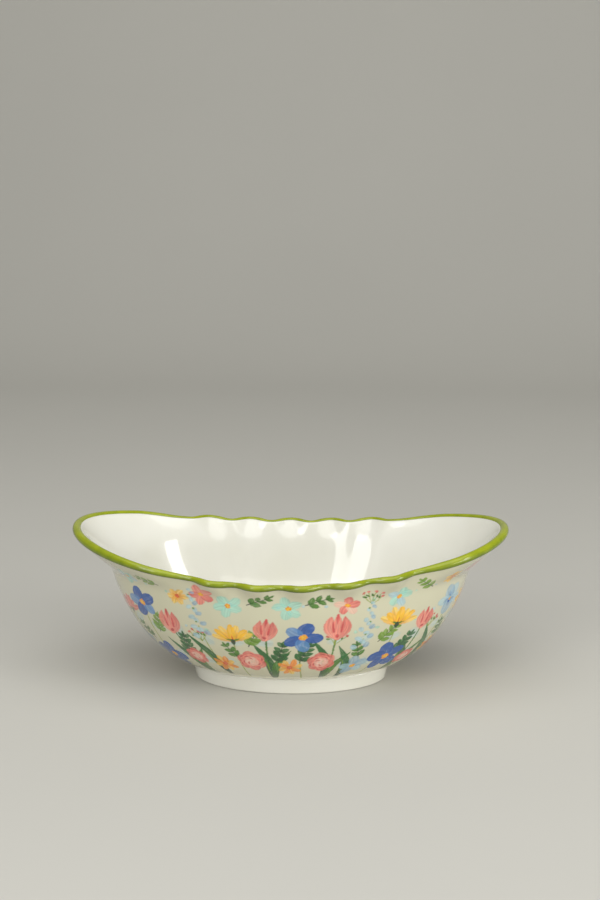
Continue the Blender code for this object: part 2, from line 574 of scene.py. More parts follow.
def settle(obj: bpy.types.Object, material: bpy.types.Material, slot: str, *nodes: str) -> None:
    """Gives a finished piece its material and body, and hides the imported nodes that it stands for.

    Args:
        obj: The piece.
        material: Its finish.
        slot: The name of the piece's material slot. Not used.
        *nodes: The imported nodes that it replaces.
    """
    obj.data.materials.clear()
    obj.data.materials.append(material)
    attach(obj, "root")
    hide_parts(*nodes)
    log.info("%s: %d faces", obj.name, len(obj.data.polygons))


# Paint on the decal sheet. Sizes on the sheet are millimetres, along it from the middle of the front
# and up it from the wall's foot.


def speckle(across: np.ndarray, up: np.ndarray, seed: int) -> np.ndarray:
    """Smooth noise from 0 to 1 that changes over about one unit.

    Args:
        across: The first coordinate of each place.
        up: The second.
        seed: Which noise to read.

    Returns:
        The noise at each place.
    """
    table = np.random.default_rng(seed).random((128, 128))
    column, row = np.floor(across).astype(int), np.floor(up).astype(int)
    x, y = across - column, up - row
    x, y = x * x * (3 - 2 * x), y * y * (3 - 2 * y)
    left = table[row % 128, column % 128] * (1 - y) + table[(row + 1) % 128, column % 128] * y
    right = table[row % 128, (column + 1) % 128] * (1 - y) + table[(row + 1) % 128, (column + 1) % 128] * y
    return left * (1 - x) + right * x


class Taper(Enum):
    """How wide a brush mark is from its start to its end, as shares of its width."""

    PETAL = (0.30, 0.72, 0.95, 1.0, 0.92, 0.62)
    LEAF = (0.10, 0.62, 0.95, 1.0, 0.80, 0.45, 0.05)
    BLADE = (0.55, 0.85, 1.0, 0.95, 0.75, 0.42, 0.04)
    STEM = (1.0, 0.95, 0.9, 0.85, 0.8, 0.7)
    ROUND = (0.9, 1.0, 1.0, 0.9)
    CUP = (0.55, 0.9, 1.0, 0.92, 0.6, 0.12)
    SPIKE = (0.9, 1.0, 0.8, 0.5, 0.1)


@dataclass(frozen=True)
class Paint:
    """A colour in the brush: its tones from the start of a mark to its end, and how it lies."""

    tones: tuple[Colour, ...]
    cover: float = 0.95
    edge: float = 0.12
    streaks: float = 0.16
    fray: float = 0.35
    soft: float = 0.55


class Sheet:
    """The decal sheet, as a colour for every point of the wall that it covers."""

    def __init__(self, along: np.ndarray, up: np.ndarray, repeat: float, ground: Colour) -> None:
        """Starts a bare sheet.

        Args:
            along: How far along the sheet each column of the wall stands, rising from the first.
            up: How far up the sheet each point stands, as rows of columns.
            repeat: How far along the sheet its picture repeats.
            ground: The colour under the paint, the glaze with the wall's painted shade in it.
        """
        self.along, self.up, self.repeat = along, up, repeat
        self.colour = np.tile(np.array(ground), (*up.shape, 1))

    def height(self, along: float) -> float:
        """How high the wall is at this distance along the sheet."""
        return float(np.interp(along % self.repeat, self.along, self.up[-1]))

    def mark(self, line: Sequence[tuple[float, float]], width: float, paint: Paint, taper: Taper) -> None:
        """Lays one brush mark, at each place where the picture repeats.

        Args:
            line: The places that the brush passes.
            width: The mark's greatest width.
            paint: What is in the brush.
            taper: How the width changes along the mark.
        """
        path = self._smooth(np.array(line, float))
        first, last = self.along[0], self.along[-1]
        low, high = path.min(axis=0) - width, path.max(axis=0) + width
        start = math.ceil((first - high[0]) / self.repeat)
        end = math.floor((last - low[0]) / self.repeat)
        for copy in range(start, end + 1):
            shift = copy * self.repeat
            self._lay(path, shift, low, high, width, paint, taper)

    @staticmethod
    def _smooth(points: np.ndarray) -> np.ndarray:
        """A smooth line through these points, with a point every half millimetre or so."""
        if len(points) == 2:
            points = np.array((points[0], points.mean(axis=0), points[1]))
        ends = np.vstack((2 * points[0] - points[1], points, 2 * points[-1] - points[-2]))
        made = []
        for a, b, c, d in zip(ends, ends[1:], ends[2:], ends[3:]):
            steps = max(3, int(np.linalg.norm(c - b) / 0.6))
            t = (np.arange(steps) / steps)[:, None]
            made.append(b + 0.5 * t * (c - a + t * (2 * a - 5 * b + 4 * c - d + t * (3 * (b - c) + d - a))))
        return np.vstack((*made, points[-1:]))

    def _lay(
        self,
        path: np.ndarray,
        shift: float,
        low: np.ndarray,
        high: np.ndarray,
        width: float,
        paint: Paint,
        taper: Taper,
    ) -> None:
        """Blends one copy of a mark into the sheet."""
        first, last = np.searchsorted(self.along, (low[0] + shift, high[0] + shift))
        up = self.up[:, first:last]
        rows, columns = np.nonzero((up > low[1]) & (up < high[1]))
        if not len(rows):
            return
        columns = columns + first
        spot = np.stack((self.along[columns] - shift, self.up[rows, columns]), axis=1)
        share = run_lengths(path)
        length = share[-1]
        share = share / length
        reach = width / 2 * np.interp(share, np.linspace(0.0, 1.0, len(taper.value)), taper.value)
        best = np.full(len(spot), 1e9)
        at, side, wide = (np.zeros(len(spot)) for _ in range(3))
        for here in range(len(path) - 1):
            step = path[here + 1] - path[here]
            away = spot - path[here]
            t = np.clip(away @ step / (step @ step), 0.0, 1.0)
            gap = away - t[:, None] * step
            half = reach[here] + (reach[here + 1] - reach[here]) * t
            past = np.hypot(gap[:, 0], gap[:, 1]) - half
            near = past < best
            best[near] = past[near]
            at[near] = (share[here] + (share[here + 1] - share[here]) * t)[near]
            side[near] = (step[0] * away[:, 1] - step[1] * away[:, 0])[near] / math.hypot(*step)
            wide[near] = half[near]
        seed = int(abs(path[0, 0] * 13 + path[0, 1] * 7)) % 97
        best = best + paint.fray * (speckle(spot[:, 0] * 1.1, spot[:, 1] * 1.1, seed) - 0.5)
        streak = speckle(at * length / 5.0, side / 0.55 + 40.0, seed + 1) - 0.5
        blot = speckle(spot[:, 0] / 2.6, spot[:, 1] / 2.6, seed + 2) - 0.5
        amount = np.clip(0.5 - best / paint.soft, 0.0, 1.0)
        amount = amount * paint.cover * (1.0 - paint.streaks * np.clip(streak + blot, 0.0, 1.0))
        tones = np.array(paint.tones)
        stops = np.linspace(0.0, 1.0, len(tones)) if len(tones) > 1 else np.array((0.0,))
        place = np.clip(at + 0.25 * blot, 0.0, 1.0)
        colour = np.stack([np.interp(place, stops, tones[:, k]) for k in range(3)], axis=1)
        rim = np.exp(-np.clip(-best, 0.0, None) / 0.5)
        colour = colour * (1.0 + paint.streaks * 1.6 * streak - paint.edge * rim)[:, None]
        old = self.colour[rows, columns]
        self.colour[rows, columns] = old + (np.clip(colour, 0.0, 1.0) - old) * amount[:, None]


class Brush(Enum):
    """The paints on the palette."""

    NAVY = Paint((rgb(24, 88, 170), rgb(16, 78, 156), rgb(20, 84, 164)), 0.98, 0.10, 0.16)
    AZURE = Paint((rgb(66, 122, 186), rgb(92, 142, 196)), 0.88, 0.14, 0.26)
    STEEL = Paint((rgb(126, 164, 194), rgb(150, 184, 206)), 0.76, 0.16, 0.30, 0.5, 0.7)
    MIST = Paint((rgb(160, 196, 212), rgb(172, 208, 218)), 0.76, 0.16, 0.22, 0.4, 0.7)
    HAZE = Paint((rgb(176, 206, 212),), 0.50, 0.05, 0.30, 1.2, 2.2)
    AQUA = Paint((rgb(164, 220, 204), rgb(150, 212, 194)), 0.74, 0.10, 0.26, 0.6, 0.9)
    YELLOW = Paint((rgb(246, 186, 20), rgb(248, 192, 34), rgb(244, 182, 22)), 0.95, 0.10, 0.20, 0.7)
    HONEY = Paint((rgb(236, 150, 16), rgb(250, 204, 84)), 0.88, 0.12, 0.36, 0.8, 0.8)
    ORANGE = Paint((rgb(238, 128, 22), rgb(244, 150, 40)), 0.92, 0.08, 0.26, 0.6)
    EMBER = Paint((rgb(214, 72, 12), rgb(232, 98, 26)), 0.92, 0.08, 0.28, 0.6, 0.7)
    SALMON = Paint((rgb(240, 152, 134), rgb(230, 116, 104)), 0.90, 0.10, 0.26, 0.5, 0.7)
    ROSE = Paint((rgb(236, 134, 118), rgb(218, 88, 84)), 0.88, 0.12, 0.30, 0.5, 0.7)
    CRIMSON = Paint((rgb(206, 60, 66), rgb(198, 52, 60)), 0.84, 0.10, 0.30, 0.4, 0.8)
    BLUSH = Paint((rgb(246, 204, 184), rgb(240, 184, 164)), 0.72, 0.08, 0.22, 0.7, 0.9)
    FOREST = Paint((rgb(8, 66, 26), rgb(16, 98, 32), rgb(24, 108, 46)), 0.98, 0.14, 0.24, 0.3)
    MOSS = Paint((rgb(34, 90, 14), rgb(66, 126, 16), rgb(52, 112, 22)), 0.95, 0.18, 0.30, 0.5)
    LEAF = Paint((rgb(92, 138, 10), rgb(118, 158, 22)), 0.94, 0.16, 0.28, 0.5)
    OLIVE = Paint((rgb(136, 154, 48), rgb(168, 180, 84)), 0.86, 0.14, 0.28, 0.5)
    INK = Paint((rgb(14, 44, 28), rgb(16, 70, 34)), 0.96, 0.06, 0.10, 0.2, 0.5)


Spot = tuple[float, float]


def beyond(start: Spot, turn: float, run: float) -> Spot:
    """The place this far from a start, in a direction where 0 is along the sheet and 90 is up it."""
    return start[0] + run * math.cos(math.radians(turn)), start[1] + run * math.sin(math.radians(turn))


@dataclass
class Hand:
    """The painter's hand, which is never quite steady."""

    sheet: Sheet
    chance: np.random.Generator

    def stray(self, by: float) -> float:
        """A small error, up to this much either way."""
        return float(self.chance.uniform(-by, by))

    def stroke(self, brush: Brush, taper: Taper, width: float, *line: Spot) -> None:
        """Lays a stroke through these places."""
        self.sheet.mark(line, width * (1.0 + self.stray(0.08)), brush.value, taper)

    def sweep(
        self, brush: Brush, taper: Taper, width: float, start: Spot, turn: float, run: float, bow: float = 0.0
    ) -> Spot:
        """Lays a bowed stroke.

        Args:
            brush: The paint.
            taper: How the width changes.
            width: Its greatest width.
            start: Where it starts.
            turn: The way it goes, in degrees.
            run: How far its end lies from its start.
            bow: How far its middle is off the straight line, to its left.

        Returns:
            Its end.
        """
        end = beyond(start, turn, run)
        self.stroke(brush, taper, width, start, beyond(beyond(start, turn, run / 2), turn + 90, bow), end)
        return end

    def dab(self, brush: Brush, spot: Spot, width: float) -> None:
        """Lays a round dab, a little longer than wide."""
        turn = self.stray(90)
        ends = beyond(spot, turn + 180, 0.15 * width), beyond(spot, turn, 0.15 * width)
        self.stroke(brush, Taper.ROUND, 0.8 * width, *ends)

    def dabs(self, brush: Brush, spot: Spot, width: float, count: int, ring: float) -> None:
        """Lays small dabs in a ring.

        Args:
            brush: The paint.
            spot: The ring's middle.
            width: How wide each dab is.
            count: How many there are.
            ring: The ring's radius.
        """
        first = self.stray(180)
        for k in range(count):
            place = beyond(spot, first + 360 * k / count, ring * (1 + self.stray(0.2)))
            self.dab(brush, place, width * (1 + self.stray(0.2)))


class Plant(ABC):
    """Anything that grows in the garden."""

    stem: tuple[Brush, float] | None = None
    blades: int = 0

    def grow(self, hand: Hand, root: Spot, head: Spot) -> None:
        """Paints the stem and the blades.

        Args:
            hand: The hand that paints.
            root: Where the plant leaves the ground.
            head: Where its head will be.
        """
        if self.stem:
            brush, width = self.stem
            middle = ((root[0] + head[0]) / 2 + hand.stray(2.5), (root[1] + head[1]) / 2)
            hand.stroke(brush, Taper.STEM, width, root, middle, head)
        for blade in range(self.blades):
            side = 1 if blade % 2 else -1
            run = (head[1] - root[1]) * (0.86 - 0.14 * blade) * (1 + hand.stray(0.08))
            turn = 90 - side * (15 + 5 * blade + hand.stray(4))
            brush = (Brush.FOREST, Brush.MOSS, Brush.FOREST)[blade % 3]
            start = (root[0] + side * 0.8, root[1])
            hand.sweep(brush, Taper.BLADE, 7.6 - 1.1 * blade, start, turn, run, side * run * 0.10)
            start = beyond(root, turn, 0.3 * run)
            hand.sweep(Brush.LEAF, Taper.SPIKE, 1.3, start, turn, 0.35 * run, side * run * 0.04)

    @abstractmethod
    def draw(self, hand: Hand, head: Spot) -> None:
        """Paints the head.

        Args:
            hand: The hand that paints.
            head: The head's middle.
        """


@dataclass(frozen=True)
class OpenBloom(Plant):
    """A flower seen from the front: a ring of petals round an eye."""

    petals: tuple[Brush, ...]
    radius: float
    count: int = 5
    eye: Brush = Brush.YELLOW
    heart: Brush = Brush.ORANGE
    vein: Brush | None = None
    stem: tuple[Brush, float] | None = None
    blades: int = 0

    def draw(self, hand: Hand, head: Spot) -> None:
        """Paints the petals, their veins and the eye."""
        first = 90 + hand.stray(25)
        width = 4.1 * self.radius / self.count
        for k in range(self.count):
            turn = first + 360 * k / self.count + hand.stray(7)
            start = beyond(head, turn, 0.20 * self.radius)
            run = 0.70 * self.radius * (1 + hand.stray(0.12))
            brush = self.petals[k % len(self.petals)]
            hand.sweep(brush, Taper.PETAL, width, start, turn, run, hand.stray(0.1) * self.radius)
            if self.vein:
                hand.sweep(self.vein, Taper.SPIKE, 0.08 * self.radius, start, turn + hand.stray(10), 0.6 * run)
        hand.dab(self.eye, head, 0.48 * self.radius)
        hand.dabs(self.heart, head, 0.14 * self.radius, 5, 0.17 * self.radius)


@dataclass(frozen=True)
class Tulip(Plant):
    """A tulip seen from its side."""

    width: float = 14.0
    height: float = 20.0
    stem: tuple[Brush, float] | None = (Brush.MOSS, 1.6)
    blades: int = 2

    def draw(self, hand: Hand, head: Spot) -> None:
        """Paints two outer petals, the middle one and the deeper marks."""
        lean = 90 + hand.stray(9)
        base = beyond(head, lean + 180, self.height * 0.5)
        for side, brush in ((1, Brush.SALMON), (-1, Brush.ROSE)):
            turn, bow = lean + 13 * side, 0.20 * self.width * side
            hand.sweep(brush, Taper.CUP, 0.56 * self.width, base, turn, 0.94 * self.height, bow)
        tip = hand.sweep(Brush.SALMON, Taper.CUP, 0.50 * self.width, base, lean, self.height)
        hand.sweep(Brush.CRIMSON, Taper.SPIKE, 0.15 * self.width, tip, lean + 178, 0.38 * self.height)
        for side in (1, -1):
            start = beyond(base, lean + 24 * side, 0.3 * self.height)
            turn, run = lean + 5 * side, 0.45 * self.height
            hand.sweep(Brush.CRIMSON, Taper.SPIKE, 0.12 * self.width, start, turn, run)
        hand.dab(Brush.CRIMSON, beyond(base, lean, 0.08 * self.height), 0.24 * self.width)


@dataclass(frozen=True)
class SideDaisy(Plant):
    """A daisy seen from its side, with its petals in a fan over a green cup."""

    petals: tuple[Brush, ...] = (Brush.HONEY, Brush.YELLOW)
    radius: float = 14.0
    count: int = 7
    stem: tuple[Brush, float] | None = (Brush.OLIVE, 1.1)
    blades: int = 0

    def draw(self, hand: Hand, head: Spot) -> None:
        """Paints the fan from its edges inward, and then the cup."""
        base = (head[0], head[1] - 0.4 * self.radius)
        order = sorted(range(self.count), key=lambda k: -abs(k - (self.count - 1) / 2))
        for k in order:
            turn = 22 + 136 * k / (self.count - 1) + hand.stray(4)
            brush, run = self.petals[k % len(self.petals)], self.radius * (0.92 + hand.stray(0.08))
            hand.sweep(brush, Taper.PETAL, 0.40 * self.radius, base, turn, run)
            hand.sweep(Brush.EMBER, Taper.SPIKE, 1.0, base, turn, 0.4 * self.radius)
        hand.sweep(Brush.INK, Taper.SPIKE, 0.24 * self.radius, base, 268, 0.30 * self.radius)
        for turn in (160, 20):
            hand.sweep(Brush.MOSS, Taper.LEAF, 1.6, base, turn, 0.36 * self.radius)


@dataclass(frozen=True)
class Pansy(Plant):
    """A pansy: two petals behind, one at each side and one hanging in front."""

    radius: float = 12.0
    stem: tuple[Brush, float] | None = (Brush.OLIVE, 1.4)
    blades: int = 1

    def draw(self, hand: Hand, head: Spot) -> None:
        """Paints the petals, the dark throat and the eye."""
        behind = ((64, Brush.MIST, 0.85), (116, Brush.STEEL, 0.85))
        sides = ((186, Brush.MIST, 0.7), (-6, Brush.MIST, 0.7))
        for turn, brush, wide in (*behind, *sides, (270, Brush.STEEL, 0.95)):
            way = turn + hand.stray(6)
            hand.sweep(brush, Taper.PETAL, wide * self.radius, head, way, 0.85 * self.radius)
            for off in (-12, 0, 12):
                start = beyond(head, way + off, 0.15 * self.radius)
                hand.sweep(Brush.AZURE, Taper.SPIKE, 0.8, start, way + off, 0.42 * self.radius)
        hand.dab(Brush.NAVY, (head[0], head[1] - 0.1 * self.radius), 0.38 * self.radius)
        hand.dab(Brush.YELLOW, head, 0.24 * self.radius)


@dataclass(frozen=True)
class Rosette(Plant):
    """A full double bloom, made of petals laid over petals toward its heart."""

    radius: float = 11.0
    stem: tuple[Brush, float] | None = None
    blades: int = 0

    def draw(self, hand: Hand, head: Spot) -> None:
        """Paints each ring of petals and then the heart."""
        for count, reach, brush in ((6, 0.68, Brush.ROSE), (5, 0.42, Brush.SALMON), (3, 0.18, Brush.BLUSH)):
            first = hand.stray(60)
            for k in range(count):
                turn = first + 360 * k / count
                spot = beyond(head, turn, reach * self.radius)
                start = beyond(spot, turn - 90, 0.2 * self.radius)
                run, bow = 0.4 * self.radius, -0.08 * self.radius
                hand.sweep(brush, Taper.ROUND, 0.50 * self.radius, start, turn + 90, run, bow)
            for k in range(count - 1):
                turn = first + 360 * (k + 0.5) / count
                start = beyond(head, turn, reach * self.radius)
                run, bow = 0.36 * self.radius, -0.06 * self.radius
                hand.sweep(Brush.CRIMSON, Taper.LEAF, 0.11 * self.radius, start, turn + 80, run, bow)


@dataclass(frozen=True)
class Spire(Plant):
    """A spire of small florets that shrink toward its tip."""

    height: float = 40.0
    florets: int = 15
    petals: tuple[Brush, ...] = (Brush.MIST, Brush.STEEL, Brush.MIST)
    stem: tuple[Brush, float] | None = (Brush.OLIVE, 1.1)
    blades: int = 1

    def draw(self, hand: Hand, head: Spot) -> None:
        """Paints the florets from the bottom up, left and right in turn."""
        for k in range(self.florets):
            share = k / (self.florets - 1)
            width = 5.8 - 3.0 * share
            side = (-1, 1, 0.1)[k % 3]
            along = head[0] + side * (4.6 - 3.4 * share) + hand.stray(0.6)
            spot = (along, head[1] + (share - 0.35) * self.height)
            hand.dab(self.petals[k % len(self.petals)], spot, width)
            if k % 4 == 1:
                hand.dab(Brush.LEAF, (spot[0] - side * 3.0, spot[1] - 1.5), 1.6)


@dataclass(frozen=True)
class Sprig(Plant):
    """A leafy twig."""

    leaf: Brush
    length: float = 22.0
    pairs: int = 4
    lean: float = 70.0

    def draw(self, hand: Hand, head: Spot) -> None:
        """Paints the twig and its leaves, which shrink toward the tip."""
        way = self.lean + hand.stray(8)
        start = beyond(head, way + 180, self.length / 2)
        hand.sweep(Brush.INK, Taper.STEM, 0.8, start, way, self.length)
        for k in range(self.pairs):
            knot = beyond(start, way, self.length * (k + 0.5) / self.pairs)
            size = self.length * (0.42 - 0.18 * k / self.pairs)
            for side in (-1, 1):
                turn = way + side * (48 + hand.stray(7))
                hand.sweep(self.leaf, Taper.LEAF, size * 0.62, knot, turn, size, hand.stray(0.5))
        tip = beyond(start, way, self.length * 0.95)
        hand.sweep(self.leaf, Taper.LEAF, self.length * 0.12, tip, way, self.length * 0.24)


@dataclass(frozen=True)
class Berries(Plant):
    """A fan of berries on hair-thin stalks."""

    berry: Brush = Brush.CRIMSON
    length: float = 12.0
    count: int = 5

    def draw(self, hand: Hand, head: Spot) -> None:
        """Paints each stalk with its berry, and bits of leaf between."""
        base = (head[0], head[1] - self.length / 2)
        for k in range(self.count):
            turn = 50 + 80 * k / (self.count - 1) + hand.stray(5)
            run = self.length * (0.85 + hand.stray(0.15))
            end = hand.sweep(Brush.OLIVE, Taper.STEM, 0.7, base, turn, run, hand.stray(1.0))
            hand.dab(self.berry, end, 2.5 + hand.stray(0.4))
            hand.sweep(Brush.MOSS, Taper.LEAF, 1.5, beyond(base, turn, 0.5 * self.length), turn + 40, 3.0)


@dataclass(frozen=True)
class Tier:
    """How one row of the garden is set out along the sheet."""

    count: int
    start: float
    share: float
    sway: float

    def spots(self, hand: Hand) -> Iterator[Spot]:
        """Sets out the row's places.

        Args:
            hand: The hand that paints them. Its sheet gives the spacing and the wall's height.

        Yields:
            Each place: evenly along the sheet, at a share of the wall's height, swaying up and down.
        """
        pitch = hand.sheet.repeat / self.count
        for k in range(self.count):
            along = (k + self.start) * pitch + hand.stray(0.10 * pitch)
            wave = self.sway * (1 if k % 2 else -1) + hand.stray(1.2)
            yield along, self.share * hand.sheet.height(along) + wave


@dataclass
class Garden:
    """A meadow of common garden flowers in rows, set out evenly along the sheet.

    Every row runs through its own list of plants. No row's places are a
    multiple of its list, so the order changes all the way along the sheet.
    """

    hand: Hand
    ground: float = 10.0
    wash_width: float = 7.5
    wash_length: float = 6.0
    dot_width: float = 2.6
    washes: Tier = Tier(31, 0.3, 0.40, 12.0)
    dots: Tier = Tier(44, 0.7, 0.72, 13.0)
    high_tier: Tier = Tier(18, 0.2, 0.86, 2.6)
    fill_tier: Tier = Tier(17, 0.9, 0.48, 7.0)
    tall_tier: Tier = Tier(14, 0.5, 0.62, 4.0)
    low_tier: Tier = Tier(12, 0.1, 0.28, 3.5)
    tall: tuple[Plant, ...] = (
        OpenBloom((Brush.NAVY, Brush.AZURE), 11.5, stem=(Brush.OLIVE, 1.3)),
        Tulip(),
        Spire(),
        SideDaisy(),
        Tulip(12.0, 17.5),
        Pansy(),
        OpenBloom((Brush.YELLOW, Brush.HONEY), 11.0, 8, Brush.EMBER, Brush.EMBER, stem=(Brush.MOSS, 1.3)),
        Spire(34.0, 13, (Brush.AQUA, Brush.MIST, Brush.STEEL)),
        SideDaisy((Brush.ROSE, Brush.SALMON), 12.5),
    )
    low: tuple[Plant, ...] = (
        OpenBloom((Brush.HONEY, Brush.ORANGE), 9.5, 8, Brush.EMBER, Brush.EMBER),
        Rosette(),
        OpenBloom((Brush.STEEL, Brush.MIST), 10.0),
        OpenBloom((Brush.NAVY,), 13.5, vein=Brush.AZURE),
        Rosette(9.0),
    )
    high: tuple[Plant, ...] = (
        OpenBloom((Brush.AQUA,), 8.0),
        Sprig(Brush.MOSS, 15.0, 3, 30.0),
        OpenBloom((Brush.ROSE, Brush.BLUSH), 7.0),
        Berries(Brush.ROSE),
        OpenBloom((Brush.AQUA, Brush.MIST), 7.5),
        Sprig(Brush.LEAF, 15.0, 3, 150.0),
        OpenBloom((Brush.HONEY,), 6.5, 6, Brush.EMBER, Brush.EMBER),
        OpenBloom((Brush.SALMON, Brush.ROSE), 7.5),
    )
    fill: tuple[Plant, ...] = (
        Sprig(Brush.FOREST, 20.0, 4, 76.0),
        Berries(),
        Sprig(Brush.MOSS, 16.0, 3, 110.0),
        Sprig(Brush.LEAF, 18.0, 4, 60.0),
    )

    def paint(self) -> None:
        """Paints the washes, the stems and the dots, and then the heads from the far rows to the near."""
        hand = self.hand
        for spot in self.washes.spots(hand):
            hand.sweep(Brush.HAZE, Taper.ROUND, self.wash_width, spot, hand.stray(60), self.wash_length)
        beds = (
            (self.high_tier, self.high),
            (self.fill_tier, self.fill),
            (self.tall_tier, self.tall),
            (self.low_tier, self.low),
        )
        rows = [list(zip(tier.spots(hand), cycle(plants))) for tier, plants in beds]
        for head, plant in rows[2]:
            root = (head[0] + hand.stray(4), self.ground + hand.stray(2))
            plant.grow(hand, root, (head[0], head[1] - 5))
        for spot in self.dots.spots(hand):
            hand.dab(Brush.AQUA if spot[1] % 2 < 1 else Brush.MIST, spot, self.dot_width + hand.stray(0.6))
        for row in rows:
            for head, plant in row:
                plant.draw(hand, head)
        log.info("painted %d plants", sum(len(row) for row in rows))


# Finishes.


@dataclass(frozen=True)
class Porcelain:
    """White porcelain under a clear, glossy glaze."""

    colour: Colour = rgb(243, 242, 234)
    # The outer wall's ground is the same porcelain, darker and warmer: painted shade for the shade under the
    # flared rim.
    shaded_wall_colour: Colour = rgb(208, 205, 177)
    shadow: Colour = rgb(233, 231, 216)
    roughness: float = 0.22
    ripple: float = 0.00006

    def material(self, name: str, painted: bool) -> bpy.types.Material:
        """Makes the finish.

        Args:
            name: The material's name.
            painted: Whether the piece carries the decal sheet's colours.

        Returns:
            The material.
        """
        recipe = Recipe(name)
        cloud = recipe.noise(22.0, 2.0)
        fine = recipe.noise(900.0, 2.0)
        if painted:
            # The decal colours, on a ground of porcelain with painted shade.
            base = recipe.node("ShaderNodeAttribute", {"attribute_name": "decal_on_shaded_ground"}, {}, "Color")
        else:
            base = recipe.mix(cloud, self.colour, self.shadow)
        shade = recipe.mix((cloud * 0.6 + fine * 0.4).held(), (1.0, 1.0, 0.995), (0.955, 0.955, 0.94))
        colour = recipe.mix(1.0, base, shade, "MULTIPLY")
        waves = recipe.noise(70.0, 1.0)
        return recipe.finish(
            Base_Color=colour,
            Roughness=(fine * 0.08 + cloud * 0.10 + (self.roughness - 0.09)).held(),
            Normal=recipe.bump(waves, self.ripple * 10, 0.1),
            IOR=1.5,
            Coat_Weight=1.0,
            Coat_Roughness=0.04,
            Coat_IOR=1.5,
        )


@dataclass(frozen=True)
class GreenGlaze:
    """Green glaze brushed on the bead, with painted light and shade: lighter and yellower on top and darker
    below.
    """

    # Tones from the lit top through the middle to the shaded underside: painted light and shade.
    thin: Colour = rgb(160, 170, 26)
    full: Colour = rgb(116, 132, 12)
    shaded_underside: Colour = rgb(72, 92, 6)

    def material(self) -> bpy.types.Material:
        """Makes the finish."""
        recipe = Recipe("green_rim_glaze")
        # Painted light and shade: the ramp follows how far the surface faces up, broken up by noise blots.
        normal = recipe.node("ShaderNodeTexCoord", {}, {}, "Normal")
        height = recipe.node("ShaderNodeSeparateXYZ", {}, {"Vector": normal}, "Z")
        blots = recipe.noise(120.0, 3.0)
        place = (height * 0.34 + 0.50 + (blots - 0.5) * 0.55).held()
        stops = ((0.12, self.shaded_underside), (0.45, self.full), (0.9, self.thin))
        colour = recipe.node("ShaderNodeValToRGB", {"stops": stops}, {"Fac": place})
        fine = recipe.noise(500.0, 2.0)
        return recipe.finish(
            Base_Color=colour,
            Roughness=(fine * 0.12 + 0.16).held(),
            Normal=recipe.bump(blots, 0.0002, 0.3),
            IOR=1.42,
            Coat_Weight=0.4,
            Coat_Roughness=0.05,
        )


@dataclass(frozen=True)
class StudioPaper:
    """Plain pale paper for the floor and the backdrop."""

    colour: Colour = rgb(202, 200, 192)

    def material(self) -> bpy.types.Material:
        """Makes the finish."""
        recipe = Recipe("studio_paper")
        cloud = recipe.noise(3.0, 2.0)
        darker = tuple(c * 0.96 for c in self.colour)
        return recipe.finish(Base_Color=recipe.mix(cloud, self.colour, darker), Roughness=0.85)


# Pieces of the bowl.


@dataclass
class PaintedWall:
    """The wall's outer face, in tiles, with the decal sheet wrapped round it."""

    shape: BowlShape
    glaze: Porcelain
    tiles: int = 8
    tile_columns: int = 270
    rows: int = 345
    steps: int = 60
    easing: int = 150

    def build(self) -> list[bpy.types.Object]:
        """Makes the tiles and paints them.

        Returns:
            The tiles.
        """
        angles = self.shape.angles(self.tiles * self.tile_columns)
        rings = respace(self.shape.outer_rings(angles, self.steps)[0], self.rows)
        rings = soften(rings, self.easing, (0.2, 0.5, 0.90, 0.98))
        # The sheet starts as the porcelain with painted shade, and the flowers are laid over it.
        sheet = Sheet(*self._sheet_places(angles, rings), self.glaze.shaded_wall_colour)
        Garden(Hand(sheet, np.random.default_rng(5))).paint()
        uv = band_uv(self.rows, self.tile_columns + 1)
        made = []
        for tile in range(self.tiles):
            span = np.arange(self.tile_columns + 1) + tile * self.tile_columns
            span %= len(angles)
            obj = grid_object(f"painted_wall_{tile + 1}", rings[:, span], uv, looped=False)
            paint = sheet.colour[:, span]
            colours = np.concatenate((paint, np.ones((*paint.shape[:2], 1))), axis=2)
            layer = obj.data.color_attributes.new("decal_on_shaded_ground", "FLOAT_COLOR", "POINT")
            layer.data.foreach_set("color", colours.astype(np.float32).ravel())
            made.append(obj)
        return made

    def _sheet_places(self, angles: np.ndarray, rings: np.ndarray) -> tuple[np.ndarray, np.ndarray, float]:
        """Where the wall's points stand on the decal sheet.

        Args:
            angles: Where the wall's columns stand.
            rings: The wall's points.

        Returns:
            How far along and how far up the sheet they stand, and how far apart its two sprays are.
        """
        shape = self.shape
        half_length = (shape.length + shape.foot_length) / 4
        middle = oval(angles, half_length, (shape.width + shape.foot_width) / 4, 0.0)
        run = run_lengths(np.vstack((middle, middle[:1]))) / MM
        return run[:-1], run_lengths(rings) / MM, run[-1] / 2

    def dress(self, tiles: list[bpy.types.Object]) -> None:
        """Glazes the tiles."""
        material = self.glaze.material("painted_glaze", painted=True)
        for tile in tiles:
            settle(tile, material, "painted_glaze", "bowl_body")


